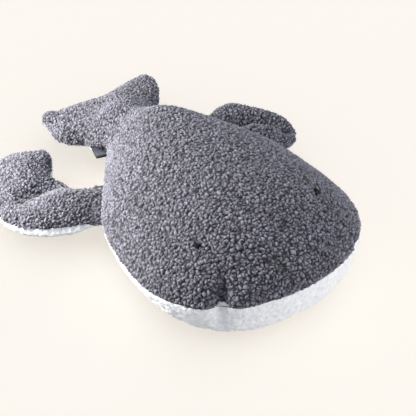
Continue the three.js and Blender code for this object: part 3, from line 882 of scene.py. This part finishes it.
# %% Eye knots
EYE_THREAD = 0.0014
EYE_LIFT = -0.0008
EYE_TURNS = {  # sideways, towards the tail, up, ring radius, tip and turn in degrees
    "right": (
        (0, 0, 0.0026, 0.0024, 0, 0),
        (0.0004, 0.0002, 0.0036, 0.0018, 38, 20),
        (-0.0004, 0, 0.0037, 0.0017, -42, 110),
        (0, 0.0004, 0.0016, 0.0026, 70, 65),
    ),
    "left": (
        (-0.0026, 0, 0.0028, 0.0015, 15, 0),
        (-0.0023, 0.0002, 0.0034, 0.0011, -50, 40),
        (0.0026, -0.0003, 0.0028, 0.0015, -12, 0),
        (0.0022, 0, 0.0034, 0.0011, 55, 70),
        (-0.0045, 0.0028, 0.0012, 0.0026, 90, -35),
    ),
}


def make_eye(side):
    rings = []
    for x, y, z, radius, tip, turn in EYE_TURNS[side]:
        bpy.ops.mesh.primitive_torus_add(
            location=(x, y, z),
            rotation=(math.radians(tip), 0, math.radians(turn)),
            major_radius=radius,
            minor_radius=EYE_THREAD,
            major_segments=32,
            minor_segments=12,
        )
        rings.append(bpy.context.object)
    pick(*rings)
    bpy.ops.object.join()
    bpy.ops.object.transform_apply(location=True, rotation=True, scale=True)
    bpy.ops.object.shade_smooth()
    eye = bpy.context.object
    eye.name = f"{side}_eye_knot"
    low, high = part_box(f"{side}_eye")
    _, place, normal, _ = body_skin.closest_point_on_mesh((low + high) / 2)
    turn = normal.to_track_quat("Z", "Y").to_matrix().to_4x4()
    eye.data.transform(Matrix.Translation(place + EYE_LIFT * normal) @ turn)
    return eye


eyes = {side: make_eye(side) for side in SIDES}
for skin in (body_skin, front_skin, tail_skin, *flipper_skins.values()):
    bpy.data.objects.remove(skin)
print("eyes:", {side: len(eye.data.polygons) for side, eye in eyes.items()})

# %% [markdown]
# ## Label
# The label is a woven tape, folded in half and caught askew in the right side seam. A thin box would do
# from afar, but a fold shows its two layers. So it starts as a flat grid: one half becomes the upper
# layer, the other goes round the fold and back below. The layers stand a little apart, and the free end
# turns up.

# %% Folded label
LABEL_WIDTH = 0.020
LABEL_REACH = 0.0205
LABEL_SKEW = math.radians(33)
LABEL_SEWN_IN = 0.005
LABEL_GAP = 0.0008
LABEL_FOLD = 6  # the power that closes the gap: the higher, the tighter the fold
UPPER_BULGE = 0.0012
LOWER_BULGE = 0.0002
LABEL_LIFT = 0.10
LABEL_TWIST = 0.0065
LABEL_CLOTH = 0.0005


def label_seat():
    """A point on the seam that holds the label, the direction away from the body and along the seam."""
    joint = joints["label_flip"]
    tailward = unit(np.array(joint["axis"]))
    return np.array(joint["pos_m"]), np.array((-tailward[1], tailward[0], 0)), tailward


def make_label():
    seat, outward, tailward = label_seat()
    along = outward * math.cos(LABEL_SKEW) - tailward * math.sin(LABEL_SKEW)
    across = outward * math.sin(LABEL_SKEW) + tailward * math.cos(LABEL_SKEW)
    bpy.ops.mesh.primitive_grid_add(x_subdivisions=48, y_subdivisions=16, size=2)
    label = bpy.context.object
    label.name = "label_folded"
    grid = points_of(label)
    side = LABEL_WIDTH / 2 * grid[:, 1]
    sewn = -LABEL_SEWN_IN - side * math.tan(LABEL_SKEW)
    reach = sewn + (LABEL_REACH - sewn) * np.sin((1 - np.abs(grid[:, 0])) * math.pi / 2)
    share = (reach - sewn) / (LABEL_REACH - sewn)
    layer = np.sign(grid[:, 0]) * LABEL_GAP * np.sqrt(np.clip(1 - share**LABEL_FOLD, 0, 1))
    bulge = np.where(grid[:, 0] < 0, UPPER_BULGE, LOWER_BULGE)
    bulge *= np.sin(np.pi * np.clip(reach / LABEL_REACH, 0, 1))
    twist = LABEL_TWIST * (0.5 + side / LABEL_WIDTH) * (2 * reach / LABEL_REACH - 1)
    height = bulge - layer + twist + LABEL_LIFT * np.maximum(0, reach)
    points = seat + np.outer(reach, along) + np.outer(side, across)
    points[:, 2] += height
    put_points(label, points)
    label.modifiers.new("cloth", "SOLIDIFY").thickness = LABEL_CLOTH
    label.modifiers["cloth"].offset = 0
    apply_modifiers(label)
    bpy.ops.object.shade_smooth()
    return label


label = make_label()
print("label faces", len(label.data.polygons))

# %% [markdown]
# ## Tools for the finishes
# Every finish here is cloth, fibre or thread: rough, hardly glossy and never of one flat colour. They
# could be painted, but nodes keep their detail at its real size on every piece, so each finish is a few
# nodes, made by the same small tools.

# %% Material tools
def new_material(name, roughness, sheen=0.0, gloss=0.2):
    material = bpy.data.materials.new(name)
    material.use_nodes = True
    shader = material.node_tree.nodes["Principled BSDF"]
    shader.inputs["Roughness"].default_value = roughness
    shader.inputs["Specular IOR Level"].default_value = gloss
    shader.inputs["Sheen Weight"].default_value = sheen
    shader.inputs["Sheen Roughness"].default_value = 0.6
    return material, material.node_tree, shader


def coordinates(tree, kind="Object"):
    return tree.nodes.new("ShaderNodeTexCoord").outputs[kind]


def noise(tree, scale, detail=2.0):
    texture = tree.nodes.new("ShaderNodeTexNoise")
    texture.inputs["Scale"].default_value = scale
    texture.inputs["Detail"].default_value = detail
    tree.links.new(coordinates(tree), texture.inputs["Vector"])
    return texture.outputs["Fac"]


def ramp(tree, value, stops):
    node = tree.nodes.new("ShaderNodeValToRGB")
    node.color_ramp.elements[0].position = stops[0][0]
    node.color_ramp.elements[0].color = (*stops[0][1], 1)
    node.color_ramp.elements[1].position = stops[-1][0]
    node.color_ramp.elements[1].color = (*stops[-1][1], 1)
    for position, colour in stops[1:-1]:
        node.color_ramp.elements.new(position).color = (*colour, 1)
    tree.links.new(value, node.inputs["Fac"])
    return node.outputs["Color"]


def tint(tree, first, second, blend="MULTIPLY"):
    node = tree.nodes.new("ShaderNodeMix")
    node.data_type = "RGBA"
    node.blend_type = blend
    node.inputs["Factor"].default_value = 1
    tree.links.new(first, node.inputs["A"])
    tree.links.new(second, node.inputs["B"])
    return node.outputs["Result"]


def bump(tree, shader, value, distance):
    node = tree.nodes.new("ShaderNodeBump")
    node.inputs["Distance"].default_value = distance
    tree.links.new(value, node.inputs["Height"])
    tree.links.new(node.outputs["Normal"], shader.inputs["Normal"])


def attribute(tree, name):
    node = tree.nodes.new("ShaderNodeAttribute")
    node.attribute_name = name
    return node.outputs["Fac"]


def wave(tree, vector, scale, direction):
    node = tree.nodes.new("ShaderNodeTexWave")
    node.bands_direction = direction
    node.inputs["Scale"].default_value = scale
    tree.links.new(vector, node.inputs["Vector"])
    return node.outputs["Fac"]


# %% [markdown]
# ## Grey looped cloth
# The grey cloth is a looped yarn: each loop head is a soft knob with a painted highlight on top and
# painted shade, nearly black, between its neighbours. A pattern of dots could show that, but it would
# slide off the bumps. The loops will be real bumps in the mesh, so the colour here follows how high a
# point stands, and fine noise breaks it up into fibres.

# %% Grey looped cloth
def make_grey_loops():
    material, tree, shader = new_material("grey_loops", 0.95, sheen=0.3)
    # The ramp paints light and shade by height: nearly black painted shade in the low gaps, rising to a
    # pale painted highlight on the loop heads.
    yarn_light_and_shade = ramp(tree, attribute(tree, "pile"), [
        (0.16, (0.004, 0.004, 0.006)),
        (0.46, (0.042, 0.042, 0.056)),
        (0.66, (0.164, 0.162, 0.207)),
        (0.95, (0.362, 0.358, 0.438)),
    ])
    patches = ramp(tree, noise(tree, 30), [(0.3, (0.82, 0.82, 0.82)), (0.7, (1.0, 1.0, 1.0))])
    fibres = ramp(tree, noise(tree, 520, 3), [(0.3, (0.62, 0.62, 0.62)), (0.7, (1.0, 1.0, 1.0))])
    yarn_light_and_shade = tint(tree, yarn_light_and_shade, fibres)
    tree.links.new(tint(tree, yarn_light_and_shade, patches), shader.inputs["Base Color"])
    bump(tree, shader, noise(tree, 1400, 3), 0.0006)
    return material


grey_loops = make_grey_loops()
print("made", grey_loops.name)

# %% [markdown]
# ## White short pile
# The white cloth is brushed, so it has soft clumps instead of loops. Hair strands would be true to it,
# but they are heavy and give no closed mesh. The height of the clumps and a soft mottle tint it instead,
# with painted shade, greyer and bluer, in the hollows between the clumps.

# %% White short pile
def make_white_pile():
    material, tree, shader = new_material("white_pile", 0.95, sheen=0.15)
    # Painted shade: the lower a point of the pile stands, the greyer and bluer it is painted.
    pile = ramp(tree, attribute(tree, "pile"), [
        (0.05, (0.72, 0.74, 0.785)),
        (0.5, (0.87, 0.885, 0.915)),
        (0.9, (0.95, 0.955, 0.965)),
    ])
    patches = ramp(tree, noise(tree, 70), [(0.3, (0.92, 0.925, 0.94)), (0.7, (1.0, 1.0, 1.0))])
    tree.links.new(tint(tree, pile, patches), shader.inputs["Base Color"])
    bump(tree, shader, noise(tree, 1100, 3), 0.0005)
    return material


white_pile = make_white_pile()
print("made", white_pile.name)

# %% [markdown]
# ## Backing, fibre and sewing thread
# The backs of the cloths, the fibre and the sewing thread are hardly seen. Each could have a weave or a
# twist of its own, but a speckle between two tones, fine or coarse, is enough for all of them.

# %% Backing, fibre and sewing thread
def make_speckled(name, dark, light, scale, depth):
    material, tree, shader = new_material(name, 0.9)
    value = noise(tree, scale, 4)
    tree.links.new(ramp(tree, value, [(0.35, dark), (0.65, light)]), shader.inputs["Base Color"])
    bump(tree, shader, value, depth)
    return material


grey_backing = make_speckled("grey_backing", (0.05, 0.05, 0.055), (0.10, 0.10, 0.11), 900, 0.0003)
white_backing = make_speckled("white_backing", (0.70, 0.71, 0.73), (0.82, 0.82, 0.84), 900, 0.0003)
fibre = make_speckled("loose_fibre", (0.78, 0.77, 0.74), (0.92, 0.91, 0.88), 260, 0.002)
grey_thread = make_speckled("spun_grey_thread", (0.05, 0.05, 0.056), (0.13, 0.13, 0.14), 2600, 0.0003)
print("made", grey_backing.name, white_backing.name, fibre.name, grey_thread.name)

# %% [markdown]
# ## Black eye thread
# The thread of the eyes is thick and slightly glossy, twisted from a few strands. The twist could be
# modelled, but it is finer than a pixel. A slanted wave along each ring's own UV map shows it.

# %% Black eye thread
PLY_TURNS = (14, 3, 1)  # how often the slanted wave repeats along a ring and round it


def make_black_thread():
    material, tree, shader = new_material("spun_black_thread", 0.45)
    slant = tree.nodes.new("ShaderNodeMapping")
    slant.inputs["Scale"].default_value = PLY_TURNS
    tree.links.new(coordinates(tree, "UV"), slant.inputs["Vector"])
    ply = wave(tree, slant.outputs["Vector"], 1.0, "DIAGONAL")
    black = ramp(tree, ply, [(0.2, (0.001, 0.001, 0.002)), (0.8, (0.004, 0.004, 0.006))])
    tree.links.new(black, shader.inputs["Base Color"])
    bump(tree, shader, ply, 0.0003)
    return material


black_thread = make_black_thread()
print("made", black_thread.name)

# %% [markdown]
# ## Woven tape
# The label is a smooth navy tape with a fine weave. It is darker at the fold and along its two edges,
# where the yarns turn. Two waves across each other make the weave, on the UV map of the flat grid, so
# it goes round the fold as the real yarns do.

# %% Woven tape
TAPE_DARK = (0.12, 0.12, 0.14)
TAPE_FACE = (1.0, 1.0, 1.0)
FOLD_HALF = 0.08  # shares of the tape, measured from its middle
EDGE_FROM = 0.36
EDGE_SOFT = 0.02
WARP_COUNT = 30
WEFT_COUNT = 16


def from_middle(tree, value):
    """How far a UV coordinate is from the middle of the piece."""
    away = tree.nodes.new("ShaderNodeMath")
    away.operation = "SUBTRACT"
    away.inputs[1].default_value = 0.5
    tree.links.new(value, away.inputs[0])
    size = tree.nodes.new("ShaderNodeMath")
    size.operation = "ABSOLUTE"
    tree.links.new(away.outputs["Value"], size.inputs[0])
    return size.outputs["Value"]


def make_tape():
    material, tree, shader = new_material("woven_tape", 0.62, sheen=0.1, gloss=0.35)
    place = coordinates(tree, "UV")
    parts = tree.nodes.new("ShaderNodeSeparateXYZ")
    tree.links.new(place, parts.inputs["Vector"])
    fold_stops = [(FOLD_HALF - EDGE_SOFT, TAPE_DARK), (FOLD_HALF + EDGE_SOFT, TAPE_FACE)]
    edge_stops = [(EDGE_FROM - EDGE_SOFT, TAPE_FACE), (EDGE_FROM + EDGE_SOFT, TAPE_DARK)]
    fold = ramp(tree, from_middle(tree, parts.outputs["X"]), fold_stops)
    edges = ramp(tree, from_middle(tree, parts.outputs["Y"]), edge_stops)
    band = tint(tree, fold, edges, "DARKEN")
    warp = wave(tree, place, WARP_COUNT, "X")
    weft = wave(tree, place, WEFT_COUNT, "Y")
    weave = tint(tree, warp, weft, "DIFFERENCE")
    cloth = ramp(tree, weave, [(0.1, (0.085, 0.092, 0.125)), (0.9, (0.150, 0.160, 0.205))])
    tree.links.new(tint(tree, cloth, band), shader.inputs["Base Color"])
    bump(tree, shader, weave, 0.0002)
    return material


woven_tape = make_tape()
print("made", woven_tape.name)

# %% [markdown]
# ## Raising the pile
# The loops stand out from the cloth. A bump in the material would be lighter, but it would leave the
# outline smooth. So each cloth gets a backing inwards, only its outer face is divided finely, and a node
# modifier pushes that face out. Rounded cells make the loop heads, and a wave over a cloud winds round
# them like curled yarn. The height of each point is kept as an attribute for the materials. The loops
# lie closer on the limbs, and the white pile only has clumps, so a cloud is enough there.

# %% Node tools for the pile
class PileTree:
    """A node tree that moves points along their normals and keeps the height in an attribute."""

    def __init__(self, name, height, middle):
        self.tree = bpy.data.node_groups.new(name, "GeometryNodeTree")
        for way in ("INPUT", "OUTPUT"):
            self.tree.interface.new_socket("Geometry", in_out=way, socket_type="NodeSocketGeometry")
        self.height = height
        self.middle = middle

    def node(self, kind, inputs=None, **settings):
        node = self.tree.nodes.new(kind)
        for key, value in settings.items():
            setattr(node, key, value)
        for key, value in (inputs or {}).items():
            if isinstance(value, bpy.types.NodeSocket):
                self.tree.links.new(value, node.inputs[key])
            else:
                node.inputs[key].default_value = value
        return node

    def math(self, operation, *values, clamp=False):
        node = self.node("ShaderNodeMath", dict(enumerate(values)), operation=operation, use_clamp=clamp)
        return node.outputs["Value"]

    def vector(self, operation, *values):
        node = self.node("ShaderNodeVectorMath", dict(enumerate(values)), operation=operation)
        return node.outputs["Vector"]

    def scaled(self, vector, scale):
        node = self.node("ShaderNodeVectorMath", {"Vector": vector, "Scale": scale}, operation="SCALE")
        return node.outputs["Vector"]

    def place(self):
        return self.node("GeometryNodeInputPosition").outputs["Position"]

    def cloud(self, place, pitch, detail=0.0):
        return self.node("ShaderNodeTexNoise", {"Vector": place, "Scale": 1 / pitch, "Detail": detail})

    def close(self, level):
        """Ends the tree: level is the height of each point, from 0 to 1."""
        outer = self.node("GeometryNodeInputNamedAttribute", {"Name": "outer"}, data_type="FLOAT")
        lift = self.math("MULTIPLY", self.math("SUBTRACT", level, self.middle), self.height)
        weighted = self.math("MULTIPLY", lift, outer.outputs["Attribute"])
        normal = self.node("GeometryNodeInputNormal").outputs["Normal"]
        source = self.node("NodeGroupInput").outputs["Geometry"]
        kept = {"Geometry": source, "Name": "pile", "Value": level}
        keep = self.node("GeometryNodeStoreNamedAttribute", kept)
        moved = {"Geometry": keep.outputs["Geometry"], "Offset": self.scaled(normal, weighted)}
        move = self.node("GeometryNodeSetPosition", moved)
        self.node("NodeGroupOutput", {"Geometry": move.outputs["Geometry"]})
        return self.tree


# %% Loops and brushed pile
LOOP_PITCH = 0.0045
LIMB_PITCH = 0.0040  # the smaller pieces are stretched less, so their loops lie closer
LOOP_HEIGHT = 0.0044
LOOP_MIDDLE = 0.6  # the level that stays where the cloth is
LOOP_GAP = 0.24  # share of a loop head that is taken by the gap round it
DOME_SHARE = 0.35
HEAD_SHARE = 0.40
CURL_SHARE = 0.25
CURL_PITCH = 0.0042
CURL_TURNS = 2.2
WARP_PITCH = 0.006
WARP_REACH = 0.0055
PILE_PITCH = 0.0048
PILE_HEIGHT = 0.0024
PILE_MIDDLE = 0.5
PILE_SPREAD = 1.8
PILE_DETAIL = 3.0


def make_loop_tree(name, pitch):
    pile = PileTree(name, LOOP_HEIGHT, LOOP_MIDDLE)
    place = pile.place()
    drift = pile.vector("SUBTRACT", pile.cloud(place, WARP_PITCH).outputs["Color"], (0.5, 0.5, 0.5))
    warped = pile.vector("ADD", place, pile.scaled(drift, WARP_REACH))
    grid = {"Vector": warped, "Scale": 1 / pitch}
    cells = pile.node("ShaderNodeTexVoronoi", grid)
    edges = pile.node("ShaderNodeTexVoronoi", grid, feature="DISTANCE_TO_EDGE")
    dome = pile.math("SUBTRACT", 1.0, pile.math("POWER", cells.outputs["Distance"], 2.0))
    head = pile.math("DIVIDE", edges.outputs["Distance"], LOOP_GAP, clamp=True)
    turns = pile.math("MULTIPLY", pile.cloud(warped, CURL_PITCH).outputs["Fac"], 2 * math.pi * CURL_TURNS)
    curl = pile.math("ADD", 0.5, pile.math("MULTIPLY", pile.math("SINE", turns), 0.5))
    level = pile.math("MULTIPLY", dome, DOME_SHARE)
    level = pile.math("ADD", level, pile.math("MULTIPLY", head, HEAD_SHARE))
    level = pile.math("ADD", level, pile.math("MULTIPLY", curl, CURL_SHARE), clamp=True)
    return pile.close(level)


def make_brushed_tree():
    pile = PileTree("brushed", PILE_HEIGHT, PILE_MIDDLE)
    clumps = pile.math("SUBTRACT", pile.cloud(pile.place(), PILE_PITCH, PILE_DETAIL).outputs["Fac"], 0.5)
    level = pile.math("ADD", 0.5, pile.math("MULTIPLY", clumps, PILE_SPREAD), clamp=True)
    return pile.close(level)


back_tree = make_loop_tree("wide_loops", LOOP_PITCH)
limb_tree = make_loop_tree("close_loops", LIMB_PITCH)
brushed_tree = make_brushed_tree()
print("piles:", back_tree.name, limb_tree.name, brushed_tree.name)

# %% Backing and division of a cloth
COVER_THICKNESS = 0.0025


def read_values(items, name):
    values = np.empty(len(items), np.int32)
    items.foreach_get(name, values)
    return values


def thicken(cover, outer_material, backing, cuts):
    """Gives the cloth its backing and divides its outer face."""
    cover.data.materials.clear()
    cover.data.materials.append(outer_material)
    cover.data.materials.append(backing)
    modifier = cover.modifiers.new("backing", "SOLIDIFY")
    modifier.thickness = COVER_THICKNESS
    modifier.offset = -1
    modifier.material_offset = 1
    modifier.material_offset_rim = 1
    apply_modifiers(cover)
    faces = read_values(cover.data.polygons, "material_index")
    choose_points(cover, np.zeros(len(cover.data.vertices), bool))
    bpy.ops.object.mode_set(mode="OBJECT")
    cover.data.polygons.foreach_set("select", faces == 0)
    bpy.ops.object.mode_set(mode="EDIT")
    bpy.ops.mesh.select_mode(type="FACE")
    bpy.ops.mesh.subdivide(number_cuts=cuts, smoothness=1)
    bpy.ops.object.mode_set(mode="OBJECT")


def outer_points(cover):
    """Marks the points of the outer face, and which of them lie on its edge."""
    mesh = cover.data
    faces = read_values(mesh.polygons, "material_index")
    corners = read_values(mesh.loops, "vertex_index")
    inner_corner = np.repeat(faces == 1, read_values(mesh.polygons, "loop_total"))
    outer = np.zeros(len(mesh.vertices), bool)
    outer[corners[~inner_corner]] = True
    edge = np.zeros(len(mesh.vertices), bool)
    edge[corners[inner_corner]] = True
    return outer, outer & edge


# %% Raise the pile on each cloth
GREY_CUTS = 2
WHITE_CUTS = 1
EDGE_SHARE = 0.5
CALM_REACH = 0.0055
CALM_SHARE = 0.2
LIMBS = ("fluke", "right_flipper", "left_flipper")


def raise_pile(cover, tree, calm=()):
    """Raises the pile, but less along the edge and hardly at all at the calm places."""
    outer, edge = outer_points(cover)
    group = cover.vertex_groups.new(name="outer")
    group.add(np.flatnonzero(outer & ~edge).tolist(), 1, "REPLACE")
    group.add(np.flatnonzero(edge).tolist(), EDGE_SHARE, "REPLACE")
    for place in calm:
        near = np.linalg.norm(points_of(cover) - place, axis=1) < CALM_REACH
        group.add(np.flatnonzero(outer & near).tolist(), CALM_SHARE, "REPLACE")
    modifier = cover.modifiers.new(tree.name, "NODES")
    modifier.node_group = tree
    apply_modifiers(cover)
    bpy.ops.object.shade_smooth()
    print(cover.name, len(cover.data.polygons), "faces with", tree.name)


grey_covers = [covers["back"], *(covers[f"{limb}_top"] for limb in LIMBS)]
white_covers = [covers["belly"], *(covers[f"{limb}_bottom"] for limb in LIMBS)]
eye_places = [np.array(sum(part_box(f"{side}_eye"), Vector())) / 2 for side in SIDES]
for cover in grey_covers:
    thicken(cover, grey_loops, grey_backing, GREY_CUTS)
    raise_pile(cover, back_tree if cover is covers["back"] else limb_tree, calm=eye_places)
for cover in white_covers:
    thicken(cover, white_pile, white_backing, WHITE_CUTS)
    raise_pile(cover, brushed_tree)

# %% [markdown]
# ## What moves with what
# The back, the belly and the eyes stay with the body. A limb that turned as one rigid piece would tear
# open at its seam. The pieces of the fluke and the flippers, and the label, only have their placement
# baked into their meshes.


def join_limb(piece, limb):
    """Bakes the placement of a piece of a limb into its mesh."""
    if limb == "fluke":
        start = np.array((0, TAIL_SEAM_Y, joints["tail_bend"]["pos_m"][2]))
    else:
        start, outward, _ = hem_of(limb.split("_")[0])
    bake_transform(piece)


for part, name in (("back", "back_panel"), ("belly", "belly_panel")):
    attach(covers[part], "body")
    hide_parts(name)
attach(fillings["body"], "body")
for limb in LIMBS:
    for part in (f"{limb}_top", f"{limb}_bottom"):
        join_limb(covers[part], limb)
        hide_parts(part)
    join_limb(fillings[limb], limb)
for name, filling in fillings.items():
    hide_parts(f"{name}_stuffing")
print("joined", len(covers), "cloths and", len(fillings), "fillings")

# %% Join the small pieces
for thread, strand in strands.items():
    limb = next((limb for limb in LIMBS if thread.startswith(limb)), None)
    if limb:
        join_limb(strand, limb)
    else:
        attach(strand, "body")
    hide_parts(thread)
for side, eye in eyes.items():
    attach(eye, "body")
    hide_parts(f"{side}_eye")
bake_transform(label)
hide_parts("label_tape")
print("joined", len(strands), "threads,", len(eyes), "eyes and the label")

# %% [markdown]
# ## Finishes and fills
# The cloths already carry their own materials and backings, and the small pieces get theirs here.

# %% Finishes and fills
def dress(pieces, material=None):
    for piece in pieces:
        if material:
            piece.data.materials.clear()
            piece.data.materials.append(material)


dress(grey_covers)
dress(white_covers)
dress(fillings.values(), fibre)
dress(strands.values(), grey_thread)
dress(eyes.values(), black_thread)
dress([label], woven_tape)
print("dressed", len(grey_covers), "grey and", len(white_covers), "white cloths")
